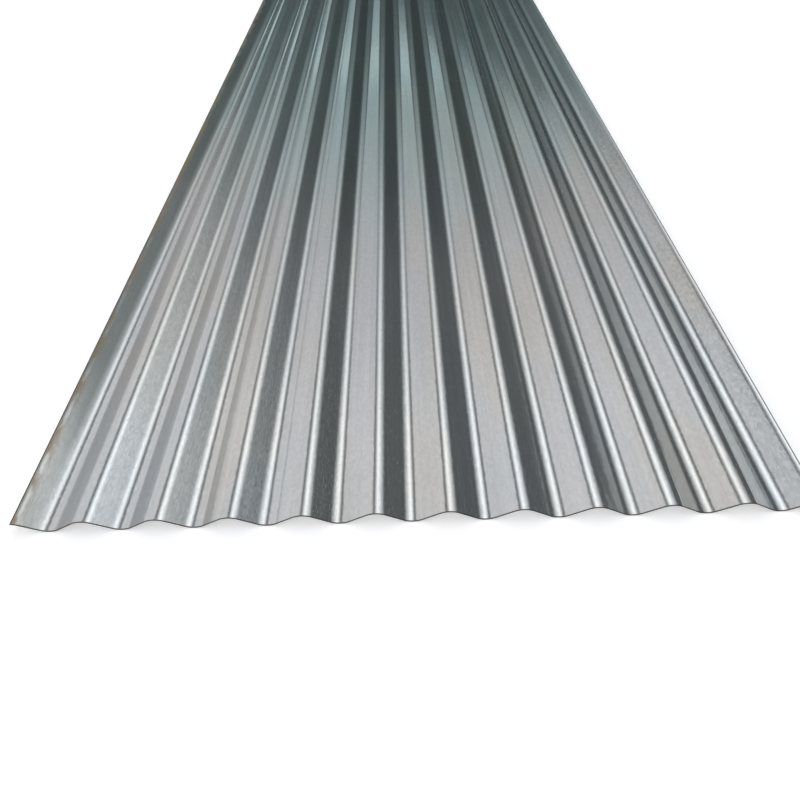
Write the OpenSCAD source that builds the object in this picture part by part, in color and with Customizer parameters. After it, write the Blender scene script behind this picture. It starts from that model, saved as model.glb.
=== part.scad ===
// Corrugated roofing sheet in galvanised steel: one flat strip, rolled into waves along its length.
// X runs across the waves, Y along them and Z up, and the sheet lies on its troughs at Z = 0.
// The origin is under the middle of the sheet, where the middle trough touches the floor.

/* [Sheet] */
// Length of the sheet, along the waves
sheet_length = 2400; // [600:50:6000]
// Width of the flat strip that the sheet is rolled from, measured along its surface
strip_width = 914; // [400:1:1250]
// Thickness of the steel
thickness = 0.5; // [0.3:0.05:1.2]

/* [Waves] */
// Distance from one crest to the next
pitch = 76; // [62:1:130]
// Height from the troughs to the crests, both at mid thickness
depth = 16; // [8:0.5:24]
// Bend radius of crests and troughs, at mid thickness
bend_radius = 20; // [6:0.5:24]

/* [Hidden] */

// Even steps that round each half bend
bend_steps = 6;

half_wave = pitch / 2;
// The line from a trough's bend centre to the next crest's bend centre
centre_drop = 2 * bend_radius - depth;
centre_line = norm([half_wave, centre_drop]);
// The straight flank touches both bends, so it crosses that line half way at a known angle
flank_angle = asin(2 * bend_radius / centre_line) - atan2(centre_drop, half_wave);
flank_length = sqrt(centre_line ^ 2 - 4 * bend_radius ^ 2);
// Steel used by half a bend and by half a wave, trough centre to crest centre
bend_length = bend_radius * flank_angle * PI / 180;
half_wave_length = 2 * bend_length + flank_length;
strip_half = strip_width / 2;
// Half waves begun between the middle trough and one long edge
half_waves = ceil(strip_half / half_wave_length);

// Places along one half wave where the section needs a point: both bends and the two ends of the flank
wave_stations = [
    for (i = [0:bend_steps]) bend_length * i / bend_steps,
    for (i = [0:bend_steps - 1]) bend_length + flank_length + bend_length * i / bend_steps
];

// Places from the middle trough to the long edge, measured along the strip
half_stations = [
    for (k = [0:half_waves - 1]) for (s = wave_stations)
        if (k * half_wave_length + s < strip_half) k * half_wave_length + s,
    strip_half
];

// The whole strip, left edge to right edge
stations = [
    for (i = [len(half_stations) - 1:-1:1]) -half_stations[i],
    each half_stations
];

// Slope of a rising half wave at s from its trough
function rise_slope(s) =
    s < bend_length ? flank_angle * s / bend_length
    : s < bend_length + flank_length ? flank_angle
    : flank_angle * (half_wave_length - s) / bend_length;

// Place of a rising half wave's mid thickness at s from its trough
function rise_point(s) =
    s < bend_length ?
        bend_radius * [sin(rise_slope(s)), 1 - cos(rise_slope(s))]
    : s < bend_length + flank_length ?
        bend_radius * [sin(flank_angle), 1 - cos(flank_angle)]
        + (s - bend_length) * [cos(flank_angle), sin(flank_angle)]
    :
        [half_wave, depth] - bend_radius * [sin(rise_slope(s)), 1 - cos(rise_slope(s))];

// The same two on the whole strip, where every second half wave falls and the left side mirrors the right
function rising(k) = k % 2 == 0;
function wave_number(s) = floor(abs(s) / half_wave_length);
function place_in_wave(s) =
    let (k = wave_number(s), along = abs(s) - k * half_wave_length)
    rising(k) ? along : half_wave_length - along;
function strip_slope(s) =
    sign(s) * (rising(wave_number(s)) ? 1 : -1) * rise_slope(place_in_wave(s));
function strip_point(s) =
    let (k = wave_number(s), p = rise_point(place_in_wave(s)))
    [sign(s) * (rising(k) ? k * half_wave + p.x : (k + 1) * half_wave - p.x), p.y];

// A point of the strip's surface, off its mid thickness by a distance square to the steel
function surface_point(s, off) = strip_point(s) + off * [-sin(strip_slope(s)), cos(strip_slope(s))];

// Wavy section across the sheet, with square-cut long edges
module wave_section() {
    top = [for (s = stations) surface_point(s, thickness / 2)];
    bottom = [for (i = [len(stations) - 1:-1:0]) surface_point(stations[i], -thickness / 2)];
    translate([0, thickness / 2])
        polygon(concat(top, bottom));
}

// The sheet: its section run along its length, with square-cut ends
module corrugated_sheet() {
    color([0.66, 0.68, 0.68])
        rotate([90, 0, 0])
            linear_extrude(sheet_length, center = true)
                wave_section();
}

corrugated_sheet();
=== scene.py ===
import math

import bpy
from mathutils import Matrix, Vector


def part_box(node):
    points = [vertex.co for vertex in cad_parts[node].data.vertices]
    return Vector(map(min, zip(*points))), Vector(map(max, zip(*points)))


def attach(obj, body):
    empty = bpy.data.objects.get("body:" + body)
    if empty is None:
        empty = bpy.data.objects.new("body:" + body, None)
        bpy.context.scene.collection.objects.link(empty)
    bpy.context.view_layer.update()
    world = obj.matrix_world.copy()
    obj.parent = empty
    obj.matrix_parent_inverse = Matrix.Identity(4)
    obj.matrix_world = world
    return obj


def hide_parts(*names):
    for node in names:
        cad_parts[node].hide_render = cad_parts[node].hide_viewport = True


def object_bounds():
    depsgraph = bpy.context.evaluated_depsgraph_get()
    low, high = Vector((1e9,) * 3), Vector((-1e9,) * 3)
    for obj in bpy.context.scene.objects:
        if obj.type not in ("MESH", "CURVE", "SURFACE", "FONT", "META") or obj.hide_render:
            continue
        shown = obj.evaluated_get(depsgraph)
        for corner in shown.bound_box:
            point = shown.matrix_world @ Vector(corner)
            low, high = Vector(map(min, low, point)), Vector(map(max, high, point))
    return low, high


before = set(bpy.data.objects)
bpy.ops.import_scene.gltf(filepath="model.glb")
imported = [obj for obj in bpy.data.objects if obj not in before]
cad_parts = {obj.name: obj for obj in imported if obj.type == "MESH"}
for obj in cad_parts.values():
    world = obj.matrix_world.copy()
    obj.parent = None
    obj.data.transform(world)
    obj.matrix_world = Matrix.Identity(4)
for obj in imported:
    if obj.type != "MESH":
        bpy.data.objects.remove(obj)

cad_low, cad_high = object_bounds()


# The corrugated sheet.
# One strip of hot-dip galvanised steel, half a millimetre thick. Wavy rollers bend it into round
# crests and troughs with straight flanks between them, and a shear cuts it square at both ends.

node_low, node_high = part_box("corrugated_sheet")
STRIP_WIDTH = 0.914
THICKNESS = 0.0005
PITCH = 0.076
BEND_RADIUS = 0.020
DEPTH = node_high.z - node_low.z - THICKNESS
SHEET_LENGTH = node_high.y - node_low.y
COLUMN_STEP = 0.001
ROW_STEP = 0.06
SHARP_ANGLE = math.radians(40.0)


def calc(tree, operation, *values):
    """One Math node. Each value is a number or another node's output, and its result comes back."""
    node = tree.nodes.new("ShaderNodeMath")
    node.operation = operation
    for socket, value in zip(node.inputs, values):
        if isinstance(value, bpy.types.NodeSocket):
            tree.links.new(value, socket)
        else:
            socket.default_value = value
    return node.outputs[0]


def rolled_wave_tree(steel):
    """Geometry Nodes that lay a flat strip along the wave by its own width, at mid thickness."""
    tree = bpy.data.node_groups.new("rolled_wave", "GeometryNodeTree")
    for name in ("Strip width", "Length", "Pitch", "Depth", "Bend radius", "Column step", "Row step"):
        tree.interface.new_socket(name, in_out="INPUT", socket_type="NodeSocketFloat")
    tree.interface.new_socket("Sheet", in_out="OUTPUT", socket_type="NodeSocketGeometry")
    size = tree.nodes.new("NodeGroupInput").outputs
    radius = size["Bend radius"]

    # The flank touches a trough's bend and the next crest's bend, so the two radii set its angle
    half_pitch = calc(tree, "MULTIPLY", size["Pitch"], 0.5)
    two_radii = calc(tree, "MULTIPLY", radius, 2.0)
    drop = calc(tree, "SUBTRACT", two_radii, size["Depth"])
    drop_square = calc(tree, "POWER", drop, 2.0)
    centres = calc(tree, "SQRT", calc(tree, "MULTIPLY_ADD", half_pitch, half_pitch, drop_square))
    lean = calc(tree, "ARCTAN2", drop, half_pitch)
    touch = calc(tree, "ARCSINE", calc(tree, "DIVIDE", two_radii, centres))
    angle = calc(tree, "SUBTRACT", touch, lean)
    centres_square = calc(tree, "POWER", centres, 2.0)
    flank_square = calc(tree, "SUBTRACT", centres_square, calc(tree, "POWER", two_radii, 2.0))
    flank = calc(tree, "SQRT", flank_square)
    bend = calc(tree, "MULTIPLY", radius, angle)
    half_wave = calc(tree, "MULTIPLY_ADD", bend, 2.0, flank)

    # The flat strip, one column of faces to each step across it
    strip = tree.nodes.new("GeometryNodeMeshGrid")
    tree.links.new(size["Strip width"], strip.inputs["Size X"])
    tree.links.new(size["Length"], strip.inputs["Size Y"])
    columns = calc(tree, "DIVIDE", size["Strip width"], size["Column step"])
    rows = calc(tree, "DIVIDE", size["Length"], size["Row step"])
    tree.links.new(calc(tree, "ADD", calc(tree, "ROUND", columns), 1.0), strip.inputs["Vertices X"])
    tree.links.new(calc(tree, "ADD", calc(tree, "ROUND", rows), 1.0), strip.inputs["Vertices Y"])
    flat = tree.nodes.new("ShaderNodeSeparateXYZ")
    tree.links.new(tree.nodes.new("GeometryNodeInputPosition").outputs[0], flat.inputs[0])

    # Which half wave a point is on, and how far along a rising half wave it lies
    away = calc(tree, "ABSOLUTE", flat.outputs["X"])
    number = calc(tree, "FLOOR", calc(tree, "DIVIDE", away, half_wave))
    along = calc(tree, "SUBTRACT", away, calc(tree, "MULTIPLY", number, half_wave))
    falling = calc(tree, "MODULO", number, 2.0)
    other_way = calc(tree, "SUBTRACT", half_wave, calc(tree, "MULTIPLY", along, 2.0))
    rise = calc(tree, "MULTIPLY_ADD", falling, other_way, along)

    # Turn made in the trough's bend, run on the flank, and turn still to make in the crest's bend
    low_turn = calc(tree, "DIVIDE", calc(tree, "MINIMUM", rise, bend), radius)
    past_bend = calc(tree, "MAXIMUM", calc(tree, "SUBTRACT", rise, bend), 0.0)
    straight = calc(tree, "MINIMUM", past_bend, flank)
    to_crest = calc(tree, "SUBTRACT", half_wave, rise)
    high_turn = calc(tree, "DIVIDE", calc(tree, "MINIMUM", to_crest, bend), radius)
    sines = calc(tree, "SUBTRACT", calc(tree, "SINE", low_turn), calc(tree, "SINE", high_turn))
    cosines = calc(tree, "SUBTRACT", calc(tree, "COSINE", high_turn), calc(tree, "COSINE", low_turn))
    round_across = calc(tree, "ADD", sines, calc(tree, "SINE", angle))
    round_across = calc(tree, "MULTIPLY", radius, round_across)
    round_up = calc(tree, "SUBTRACT", calc(tree, "ADD", cosines, 1.0), calc(tree, "COSINE", angle))
    round_up = calc(tree, "MULTIPLY", radius, round_up)
    across = calc(tree, "MULTIPLY_ADD", straight, calc(tree, "COSINE", angle), round_across)
    up = calc(tree, "MULTIPLY_ADD", straight, calc(tree, "SINE", angle), round_up)

    # From that half wave to the place on the sheet, the left side mirroring the right
    mirrored = calc(tree, "SUBTRACT", half_pitch, calc(tree, "MULTIPLY", across, 2.0))
    within = calc(tree, "MULTIPLY_ADD", falling, mirrored, across)
    side = calc(tree, "SIGN", flat.outputs["X"])
    x = calc(tree, "MULTIPLY", side, calc(tree, "MULTIPLY_ADD", number, half_pitch, within))
    place = tree.nodes.new("ShaderNodeCombineXYZ")
    tree.links.new(x, place.inputs["X"])
    tree.links.new(flat.outputs["Y"], place.inputs["Y"])
    tree.links.new(up, place.inputs["Z"])

    move = tree.nodes.new("GeometryNodeSetPosition")
    realize = tree.nodes.new("GeometryNodeRealizeInstances")
    finish = tree.nodes.new("GeometryNodeSetMaterial")
    finish.inputs["Material"].default_value = steel
    tree.links.new(strip.outputs["Mesh"], move.inputs["Geometry"])
    tree.links.new(place.outputs[0], move.inputs["Position"])
    tree.links.new(move.outputs[0], realize.inputs[0])
    tree.links.new(realize.outputs[0], finish.inputs["Geometry"])
    tree.links.new(finish.outputs[0], tree.nodes.new("NodeGroupOutput").inputs[0])
    return tree


def ramp(tree, value, start, end, low=0.0, high=1.0, soft=True):
    """A step from low at start to high at end, eased unless soft is off."""
    node = tree.nodes.new("ShaderNodeMapRange")
    node.interpolation_type = "SMOOTHSTEP" if soft else "LINEAR"
    tree.links.new(value, node.inputs["Value"])
    node.inputs["From Min"].default_value = start
    node.inputs["From Max"].default_value = end
    node.inputs["To Min"].default_value = low
    node.inputs["To Max"].default_value = high
    return node.outputs["Result"]


def noise(tree, place, stretch, scale, detail):
    """Noise read at place, drawn out along the sheet by stretch."""
    drawn = tree.nodes.new("ShaderNodeMapping")
    drawn.inputs["Scale"].default_value = (1.0, 1.0 / stretch, 1.0)
    tree.links.new(place, drawn.inputs["Vector"])
    node = tree.nodes.new("ShaderNodeTexNoise")
    node.inputs["Scale"].default_value = scale
    node.inputs["Detail"].default_value = detail
    tree.links.new(drawn.outputs["Vector"], node.inputs["Vector"])
    return node.outputs["Fac"]


def blend(tree, factor, first, second):
    """A colour between first and second, each a colour or another node's output."""
    node = tree.nodes.new("ShaderNodeMix")
    node.data_type = "RGBA"
    tree.links.new(factor, node.inputs["Factor"])
    for socket, colour in ((node.inputs[6], first), (node.inputs[7], second)):
        if isinstance(colour, bpy.types.NodeSocket):
            tree.links.new(colour, socket)
        else:
            socket.default_value = colour
    return node.outputs[2]


DULL_COOL = (0.465, 0.488, 0.496, 1.0)
BRIGHT_COOL = (0.572, 0.598, 0.608, 1.0)
DULL_WARM = (0.480, 0.482, 0.466, 1.0)
BRIGHT_WARM = (0.598, 0.600, 0.580, 1.0)
# A dark stain along the left edge, which also paints shade there
STAIN_AND_SHADE = (0.187, 0.203, 0.197, 1.0)
BROWN_RUST = (0.300, 0.230, 0.170, 1.0)
OCHRE_RUST = (0.300, 0.252, 0.130, 1.0)
# Dark bare steel at the cut edges, which also serves as a painted shadow line
BARE_EDGE_AND_SHADOW = (0.080, 0.072, 0.062, 1.0)

# Crystals to a metre across the sheet, and how far they are drawn out along it
CRYSTAL_SCALE = 360.0
CRYSTAL_STRETCH = 2.0

# Shares of the zinc's tone, and the part of their sum that runs from dull to bright
CRYSTAL_TONE = 0.16
PATCH_TONE = 0.34
STREAK_TONE = 0.50
TONE_SPREAD = (0.25, 0.75)

# Noise levels where cool zinc turns warm, rust breaks out and brown rust turns ochre
WARM_ZINC = (0.38, 0.62)
RUST_BREAKS_OUT = (0.40, 0.58)
OCHRE_PATCHES = (0.4, 0.6)

# Least depth of the stain and painted shade, the blotches that deepen it, and its gain along the sheet
STAIN_AND_SHADE_LEAST = 0.2
STAIN_AND_SHADE_LEVELS = (0.30, 0.95)
STAIN_AND_SHADE_GAIN = 0.45

# How much of the zinc the rust hides
RUST_COVER = 0.75

# Places where a mark begins and where it is full, in metres from the edge or end it belongs to
STAIN_AND_SHADE_WIDTH = (0.030, 0.018)
STAIN_AND_SHADE_START = (0.03, 0.28)
RUST_WIDTH = (0.012, 0.002)
FILM_LEFT = (0.036, 0.046)
FILM_RIGHT = (0.072, 0.062)
FILM_LENGTH = (1.2, 0.5)
BARE_EDGE_AND_SHADOW_WIDTH = (0.0016, 0.0006)

# Roughness of plain zinc, and what each kind of mark adds to it
PLAIN_ROUGHNESS = 0.065
PATCH_ROUGHNESS = 0.08
STREAK_ROUGHNESS = 0.05
STAIN_AND_SHADE_ROUGHNESS = 0.12
FILM_ROUGHNESS = 0.25
WORN_ROUGHNESS = 0.35

# Slope of the crystals, and heights of the surface's unevenness in metres
CRYSTAL_SLOPE = 0.022
STREAK_HEIGHT = 0.00003
WAVINESS_HEIGHT = 0.00012
SWAY_HEIGHT = 0.0005


def galvanised_steel():
    """Bare zinc: bright, with roller streaks along the waves, small tilted crystals, worn edges and
    painted edge shadow.
    """
    material = bpy.data.materials.new("galvanised_steel")
    material.use_nodes = True
    tree = material.node_tree
    shader = tree.nodes["Principled BSDF"]
    place = tree.nodes.new("ShaderNodeTexCoord").outputs["Object"]

    # Roller streaks, and broad patches where the coat ran thicker or took another hue
    streaks = noise(tree, place, stretch=55.0, scale=150.0, detail=2.5)
    patches = noise(tree, place, stretch=3.0, scale=16.0, detail=3.0)
    hue = noise(tree, place, stretch=4.0, scale=12.0, detail=2.0)
    hue = ramp(tree, hue, *WARM_ZINC)

    # The zinc's crystals: each has its own tone, and a slight tilt of its own
    drawn = tree.nodes.new("ShaderNodeMapping")
    drawn.inputs["Scale"].default_value = (1.0, 1.0 / CRYSTAL_STRETCH, 1.0)
    tree.links.new(place, drawn.inputs["Vector"])
    crystals = tree.nodes.new("ShaderNodeTexVoronoi")
    crystals.inputs["Scale"].default_value = CRYSTAL_SCALE
    tree.links.new(drawn.outputs["Vector"], crystals.inputs["Vector"])
    crystal = tree.nodes.new("ShaderNodeSeparateColor")
    tree.links.new(crystals.outputs["Color"], crystal.inputs["Color"])
    from_middle = tree.nodes.new("ShaderNodeVectorMath")
    from_middle.operation = "SUBTRACT"
    tree.links.new(drawn.outputs["Vector"], from_middle.inputs[0])
    tree.links.new(crystals.outputs["Position"], from_middle.inputs[1])
    lean = tree.nodes.new("ShaderNodeVectorMath")
    lean.operation = "SUBTRACT"
    lean.inputs[1].default_value = (0.5, 0.5, 0.5)
    tree.links.new(crystals.outputs["Color"], lean.inputs[0])
    facet = tree.nodes.new("ShaderNodeVectorMath")
    facet.operation = "DOT_PRODUCT"
    tree.links.new(from_middle.outputs["Vector"], facet.inputs[0])
    tree.links.new(lean.outputs["Vector"], facet.inputs[1])

    tone = calc(tree, "MULTIPLY", patches, PATCH_TONE)
    tone = calc(tree, "MULTIPLY_ADD", crystal.outputs["Red"], CRYSTAL_TONE, tone)
    tone = calc(tree, "MULTIPLY_ADD", streaks, STREAK_TONE, tone)
    tone = ramp(tree, tone, *TONE_SPREAD, soft=False)
    cool_zinc = blend(tree, tone, DULL_COOL, BRIGHT_COOL)
    zinc = blend(tree, hue, cool_zinc, blend(tree, tone, DULL_WARM, BRIGHT_WARM))

    # The left edge lay in the wet: a stain reaches in from it, partly painted shade, darker away from
    # the near end, patches of rust grow at the edge itself, and the first flank past the trough has a
    # dull film
    axes = tree.nodes.new("ShaderNodeSeparateXYZ")
    tree.links.new(place, axes.inputs[0])
    from_left = calc(tree, "SUBTRACT", axes.outputs["X"], node_low.x)
    from_near = calc(tree, "SUBTRACT", axes.outputs["Y"], node_low.y)
    film = ramp(tree, from_left, *FILM_LEFT)
    film = calc(tree, "MINIMUM", film, ramp(tree, from_left, *FILM_RIGHT))
    film = calc(tree, "MULTIPLY", film, ramp(tree, from_near, *FILM_LENGTH))
    stain_and_shade_blotches = noise(tree, place, stretch=4.0, scale=14.0, detail=3.0)
    stain_and_shade_blotches = calc(tree, "ADD", stain_and_shade_blotches, ramp(tree, from_near, *STAIN_AND_SHADE_START, high=STAIN_AND_SHADE_GAIN))
    stain_and_shade = ramp(tree, stain_and_shade_blotches, *STAIN_AND_SHADE_LEVELS, low=STAIN_AND_SHADE_LEAST)
    stain_and_shade = calc(tree, "MULTIPLY", ramp(tree, from_left, *STAIN_AND_SHADE_WIDTH), stain_and_shade)
    rusted = noise(tree, place, stretch=3.0, scale=70.0, detail=3.0)
    rusted = ramp(tree, rusted, *RUST_BREAKS_OUT)
    rusted = calc(tree, "MULTIPLY", ramp(tree, from_left, *RUST_WIDTH), rusted)
    rust = blend(tree, ramp(tree, patches, *OCHRE_PATCHES), BROWN_RUST, OCHRE_RUST)

    # Bare steel at all four cut edges, darkened into a painted shadow line along them
    from_sides = calc(tree, "SUBTRACT", node_high.x, calc(tree, "ABSOLUTE", axes.outputs["X"]))
    from_ends = calc(tree, "SUBTRACT", node_high.y, calc(tree, "ABSOLUTE", axes.outputs["Y"]))
    bare_edge_and_shadow = ramp(tree, calc(tree, "MINIMUM", from_sides, from_ends), *BARE_EDGE_AND_SHADOW_WIDTH)
    # The stain darkens the zinc near the left edge, partly as painted shade
    surface = blend(tree, stain_and_shade, zinc, STAIN_AND_SHADE)
    surface = blend(tree, calc(tree, "MULTIPLY", rusted, RUST_COVER), surface, rust)
    tree.links.new(blend(tree, bare_edge_and_shadow, surface, BARE_EDGE_AND_SHADOW), shader.inputs["Base Color"])
    shader.inputs["Metallic"].default_value = 1.0

    rough = calc(tree, "MULTIPLY", streaks, STREAK_ROUGHNESS)
    rough = calc(tree, "MULTIPLY_ADD", patches, PATCH_ROUGHNESS, rough)
    rough = calc(tree, "ADD", rough, PLAIN_ROUGHNESS)
    rough = calc(tree, "MULTIPLY_ADD", stain_and_shade, STAIN_AND_SHADE_ROUGHNESS, rough)
    rough = calc(tree, "MULTIPLY_ADD", film, FILM_ROUGHNESS, rough)
    worn = calc(tree, "MAXIMUM", rusted, bare_edge_and_shadow)
    rough = calc(tree, "MULTIPLY_ADD", worn, WORN_ROUGHNESS, rough)
    tree.links.new(rough, shader.inputs["Roughness"])

    # Crystal facets, roller marks along the waves, and the slight unevenness of thin sheet
    waviness = noise(tree, place, stretch=5.0, scale=60.0, detail=2.0)
    sway = noise(tree, place, stretch=4.0, scale=9.0, detail=1.0)
    height = calc(tree, "MULTIPLY", streaks, STREAK_HEIGHT)
    height = calc(tree, "MULTIPLY_ADD", facet.outputs["Value"], CRYSTAL_SLOPE, height)
    height = calc(tree, "MULTIPLY_ADD", waviness, WAVINESS_HEIGHT, height)
    height = calc(tree, "MULTIPLY_ADD", sway, SWAY_HEIGHT, height)
    bump = tree.nodes.new("ShaderNodeBump")
    bump.inputs["Distance"].default_value = 1.0
    tree.links.new(height, bump.inputs["Height"])
    tree.links.new(bump.outputs["Normal"], shader.inputs["Normal"])
    return material


steel = galvanised_steel()
wave_tree = rolled_wave_tree(steel)
sheet_sizes = {
    "Strip width": STRIP_WIDTH,
    "Length": SHEET_LENGTH,
    "Pitch": PITCH,
    "Depth": DEPTH,
    "Bend radius": BEND_RADIUS,
    "Column step": COLUMN_STEP,
    "Row step": ROW_STEP,
}
rough_sheet = bpy.data.objects.new("rough_sheet", bpy.data.meshes.new("rough_sheet"))
bpy.context.scene.collection.objects.link(rough_sheet)
rolling = rough_sheet.modifiers.new("rolling", "NODES")
rolling.node_group = wave_tree
for socket in wave_tree.interface.items_tree:
    if socket.in_out == "INPUT":
        rolling[socket.identifier] = sheet_sizes[socket.name]
plate = rough_sheet.modifiers.new("plate", "SOLIDIFY")
plate.thickness = THICKNESS
plate.offset = 0.0
plate.use_even_offset = True
evaluated = rough_sheet.evaluated_get(bpy.context.evaluated_depsgraph_get())
sheet_mesh = bpy.data.meshes.new_from_object(evaluated)
bpy.data.objects.remove(rough_sheet)
sheet_mesh.transform(Matrix.Translation((0.0, 0.0, THICKNESS / 2)))
sheet_mesh.shade_smooth()
sheet_mesh.set_sharp_from_angle(angle=SHARP_ANGLE)
sheet = bpy.data.objects.new("galvanised_sheet", sheet_mesh)
bpy.context.scene.collection.objects.link(sheet)
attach(sheet, "root")
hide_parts("corrugated_sheet")


# The floor.
# A plain pale studio floor, wide enough to run to the horizon, that the sheet lies on. It looks
# white, also where the metal mirrors it, and it keeps the sheet's shadow.

FLOOR_SIZE = 400.0
FLOOR_DROP = 0.0003
FLOOR_COLOUR = (0.9, 0.9, 0.9, 1.0)
FLOOR_ROUGHNESS = 0.9
FLOOR_GLOSS = 0.1
FLOOR_GLOW = 0.32
FLOOR_GLOW_COLOUR = (1.0, 1.0, 1.0, 1.0)

floor_mesh = bpy.data.meshes.new("floor")
reach = FLOOR_SIZE / 2
corners = [(-reach, -reach), (reach, -reach), (reach, reach), (-reach, reach)]
floor_mesh.from_pydata([(x, y, -FLOOR_DROP) for x, y in corners], [], [(0, 1, 2, 3)])
floor = bpy.data.objects.new("floor", floor_mesh)
bpy.context.scene.collection.objects.link(floor)
floor_paint = bpy.data.materials.new("floor_paint")
floor_paint.use_nodes = True
floor_nodes = floor_paint.node_tree
floor_shader = floor_nodes.nodes["Principled BSDF"]
floor_shader.inputs["Base Color"].default_value = FLOOR_COLOUR
floor_shader.inputs["Roughness"].default_value = FLOOR_ROUGHNESS
floor_shader.inputs["Specular IOR Level"].default_value = FLOOR_GLOSS
floor_shader.inputs["Emission Color"].default_value = FLOOR_GLOW_COLOUR
seen_by = floor_nodes.nodes.new("ShaderNodeLightPath").outputs
seen = calc(floor_nodes, "MAXIMUM", seen_by["Is Camera Ray"], seen_by["Is Glossy Ray"])
seen = calc(floor_nodes, "MAXIMUM", seen, seen_by["Is Transmission Ray"])
glow = calc(floor_nodes, "MULTIPLY", seen, FLOOR_GLOW)
floor_nodes.links.new(glow, floor_shader.inputs["Emission Strength"])
floor_mesh.materials.append(floor_paint)


# The studio light.
# A long soft light overhead, a little to the right, and a broad soft wall of light on the left. The
# right side and the far end stay dim, which gives the flanks their light and dark sides.

OVERHEAD_STRENGTH = 1.5
OVERHEAD_NEAR_SHARE = 0.55
SKY_STRENGTH = 0.35
SKY_NEAR_SHARE = 0.4
LEFT_WALL_STRENGTH = 0.80
LEFT_WALL_FAR_SHARE = 0.42
WINDOW_GAIN = 1.30
SURROUNDINGS_STRENGTH = 0.16
SURROUNDINGS_FAR_SHARE = 0.5
RIGHT_SHADE = 0.45
BACKDROP_STRENGTH = 1.0
OVERHEAD_COLOUR = (0.985, 1.0, 1.02, 1.0)
LEFT_WALL_COLOUR = (1.018, 1.0, 1.022, 1.0)
SHADE_COLOUR = (0.94, 1.0, 1.05, 1.0)
FAR_COLOUR = (0.76, 1.0, 1.02, 1.0)
BACKDROP_COLOUR = (1.0, 1.0, 1.0, 1.0)

# Tilts where each light or shade begins and where it is full, in degrees from straight up
OVERHEAD_LEFT = (-13.0, 10.0)
OVERHEAD_RIGHT = (50.0, 12.0)
SKY_LEFT = (-30.0, -16.0)
SKY_RIGHT = (38.0, 15.0)
LEFT_WALL_TOP = (-13.0, -27.0)
RIGHT_SHADE_TOP = (34.0, 54.0)
OVERHEAD_TINT = (-28.0, -12.0)
SHADE_TINT = (25.0, 50.0)

# The same in degrees from the far end of the waves
OVERHEAD_FAR = (24.5, 52.0)
OVERHEAD_NEAR = (85.0, 130.0)
SKY_FAR = (15.0, 26.0)
SKY_NEAR = (34.0, 50.0)
LEFT_WALL_FAR = (31.5, 36.0)
LEFT_WALL_LEVEL = (20.0, 50.0)
SURROUNDINGS_FAR = (8.0, 24.0)
RIGHT_SHADE_FAR = (38.0, 26.0)
FAR_TINT_END = (18.0, 36.0)

# Slant of two far edges for each degree of tilt, and the tilt where the first begins to slant
OVERHEAD_SLANT = -0.12
OVERHEAD_SLANT_START = 10.0
LEFT_WALL_SLANT = -0.325

# The wall's edge towards the middle, as the share of a direction that points to the right
LEFT_WALL_EDGE = (-0.14, -0.25)

# The window's lower and upper edges as the flanks mirror it, which turns it by twice their angle
WINDOW_LOW = (0.300, 0.318)
WINDOW_HIGH = (0.352, 0.338)
MIRROR_COSINE = 0.482
MIRROR_SINE = 0.876

# The backdrop's heights, and where it rises, as the share of a direction that points to the far end
BACKDROP_FAR_HEIGHT = 0.03
BACKDROP_SIDE_HEIGHT = 0.24
BACKDROP_NEAR_GAIN = 0.28
BACKDROP_SIDES = (0.62, 0.35)
BACKDROP_NEAR = (-0.10, -0.40)
BACKDROP_FADE = (1.0, 0.5)

world = bpy.data.worlds.new("studio")
bpy.context.scene.world = world
world.use_nodes = True
sky = world.node_tree
direction = sky.nodes.new("ShaderNodeSeparateXYZ")
sky.links.new(sky.nodes.new("ShaderNodeTexCoord").outputs["Generated"], direction.inputs[0])
rightward = direction.outputs["X"]
farward = direction.outputs["Y"]
upward = direction.outputs["Z"]

# The angle from straight up towards the right, and the angle from the far end, both in degrees
DEGREES = 180.0 / math.pi
tilt = calc(sky, "MULTIPLY", calc(sky, "ARCTAN2", rightward, upward), DEGREES)
from_far = calc(sky, "MULTIPLY", calc(sky, "ARCCOSINE", farward), DEGREES)

# The long light overhead, which fades towards the far end and dims behind the near end
overhead = ramp(sky, tilt, *OVERHEAD_RIGHT, soft=False)
overhead = calc(sky, "MINIMUM", ramp(sky, tilt, *OVERHEAD_LEFT), overhead)
past_slant = calc(sky, "MAXIMUM", calc(sky, "SUBTRACT", tilt, OVERHEAD_SLANT_START), 0.0)
slanted = calc(sky, "MULTIPLY_ADD", past_slant, OVERHEAD_SLANT, from_far)
overhead = calc(sky, "MULTIPLY", overhead, ramp(sky, slanted, *OVERHEAD_FAR, soft=False))
near_dimming = ramp(sky, from_far, *OVERHEAD_NEAR, low=1.0, high=OVERHEAD_NEAR_SHARE)
overhead = calc(sky, "MULTIPLY", overhead, near_dimming)

# The weaker sky around that light, strongest at its far edge
open_sky = calc(sky, "MINIMUM", ramp(sky, tilt, *SKY_RIGHT), ramp(sky, tilt, *SKY_LEFT))
open_sky = calc(sky, "MULTIPLY", open_sky, ramp(sky, from_far, *SKY_FAR, soft=False))
sky_near = SKY_NEAR_SHARE * SKY_STRENGTH
sky_level = ramp(sky, from_far, *SKY_NEAR, low=SKY_STRENGTH, high=sky_near)
open_sky = calc(sky, "MULTIPLY", open_sky, sky_level)

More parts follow.
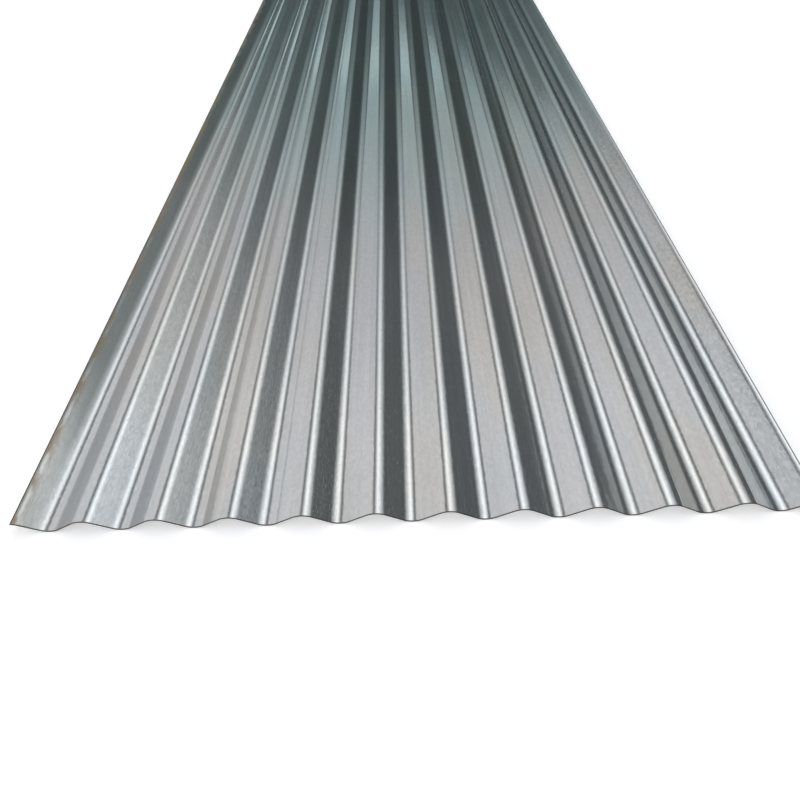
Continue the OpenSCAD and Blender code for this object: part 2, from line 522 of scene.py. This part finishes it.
# The wall on the left, dimmer towards its far edge, with one low bright window along it
left_wall = ramp(sky, rightward, *LEFT_WALL_EDGE)
left_wall = calc(sky, "MINIMUM", ramp(sky, tilt, *LEFT_WALL_TOP), left_wall)
wall_far = LEFT_WALL_FAR_SHARE * LEFT_WALL_STRENGTH
wall_level = ramp(sky, from_far, *LEFT_WALL_LEVEL, low=wall_far, high=LEFT_WALL_STRENGTH, soft=False)
wall_end = calc(sky, "MULTIPLY_ADD", tilt, LEFT_WALL_SLANT, from_far)
wall_end = ramp(sky, wall_end, *LEFT_WALL_FAR)
window_rise = calc(sky, "MULTIPLY", upward, MIRROR_COSINE)
window_rise = calc(sky, "MULTIPLY_ADD", rightward, -MIRROR_SINE, window_rise)
window_rise = calc(sky, "DIVIDE", window_rise, farward)
window = ramp(sky, window_rise, *WINDOW_HIGH)
window = calc(sky, "MINIMUM", ramp(sky, window_rise, *WINDOW_LOW), window)
window = calc(sky, "MULTIPLY_ADD", window, WINDOW_GAIN, 1.0)
left_wall = calc(sky, "MULTIPLY", left_wall, calc(sky, "MULTIPLY", wall_level, wall_end))
left_wall = calc(sky, "MULTIPLY", left_wall, window)

# The dim surroundings, darkest at the far end and low on its right
around_far = SURROUNDINGS_FAR_SHARE * SURROUNDINGS_STRENGTH
around = ramp(
    sky, from_far, *SURROUNDINGS_FAR, low=around_far, high=SURROUNDINGS_STRENGTH, soft=False
)
right_shade = ramp(sky, from_far, *RIGHT_SHADE_FAR, high=RIGHT_SHADE)
right_shade = calc(sky, "MULTIPLY", ramp(sky, tilt, *RIGHT_SHADE_TOP), right_shade)
around = calc(sky, "MULTIPLY", around, calc(sky, "SUBTRACT", 1.0, right_shade))

strength = calc(sky, "ADD", around, calc(sky, "MAXIMUM", open_sky, left_wall))
strength = calc(sky, "MULTIPLY_ADD", overhead, OVERHEAD_STRENGTH, strength)
colour = blend(sky, ramp(sky, tilt, *OVERHEAD_TINT), LEFT_WALL_COLOUR, OVERHEAD_COLOUR)
colour = blend(sky, ramp(sky, tilt, *SHADE_TINT), colour, SHADE_COLOUR)
colour = blend(sky, ramp(sky, from_far, *FAR_TINT_END), FAR_COLOUR, colour)

# A plain white backdrop along the horizon, low at the far end, higher at the sides and the near end
backdrop_top = ramp(
    sky, farward, *BACKDROP_SIDES, low=BACKDROP_FAR_HEIGHT, high=BACKDROP_SIDE_HEIGHT
)
near_gain = ramp(sky, farward, *BACKDROP_NEAR, high=BACKDROP_NEAR_GAIN)
backdrop_top = calc(sky, "ADD", backdrop_top, near_gain)
backdrop = ramp(sky, calc(sky, "DIVIDE", upward, backdrop_top), *BACKDROP_FADE)
colour = blend(sky, backdrop, colour, BACKDROP_COLOUR)
to_white = calc(sky, "SUBTRACT", BACKDROP_STRENGTH, strength)
strength = calc(sky, "MULTIPLY_ADD", backdrop, to_white, strength)
sky.links.new(colour, sky.nodes["Background"].inputs["Color"])
sky.links.new(strength, sky.nodes["Background"].inputs["Strength"])


# The camera.
# It stands just short of the near cut end, low over the sheet, and looks down along the waves.

IMAGE_SIZE = 800
FOCAL_PIXELS = 600.0
SENSOR_WIDTH = 36.0
NEAREST_SEEN = 0.01
CAMERA_LEFT = 0.003
CAMERA_BACK = 0.328
CAMERA_HEIGHT = 0.5455
CAMERA_PLACE = Vector((-CAMERA_LEFT, cad_low.y - CAMERA_BACK, CAMERA_HEIGHT))
LOOK_DOWN = math.radians(47.49)
TURN_LEFT = math.radians(0.89)
ROLL = math.radians(-2.39)

camera_data = bpy.data.cameras.new("camera")
camera_data.sensor_width = SENSOR_WIDTH
camera_data.lens = FOCAL_PIXELS / IMAGE_SIZE * SENSOR_WIDTH
camera_data.clip_start = NEAREST_SEEN
camera = bpy.data.objects.new("camera", camera_data)
bpy.context.scene.collection.objects.link(camera)
leaned = Matrix.Rotation(math.radians(90.0) - LOOK_DOWN, 4, "X")
turned = Matrix.Rotation(TURN_LEFT, 4, "Z") @ leaned
camera.matrix_world = Matrix.Translation(CAMERA_PLACE) @ turned @ Matrix.Rotation(ROLL, 4, "Z")
bpy.context.scene.camera = camera
bpy.context.scene.view_settings.view_transform = "Standard"
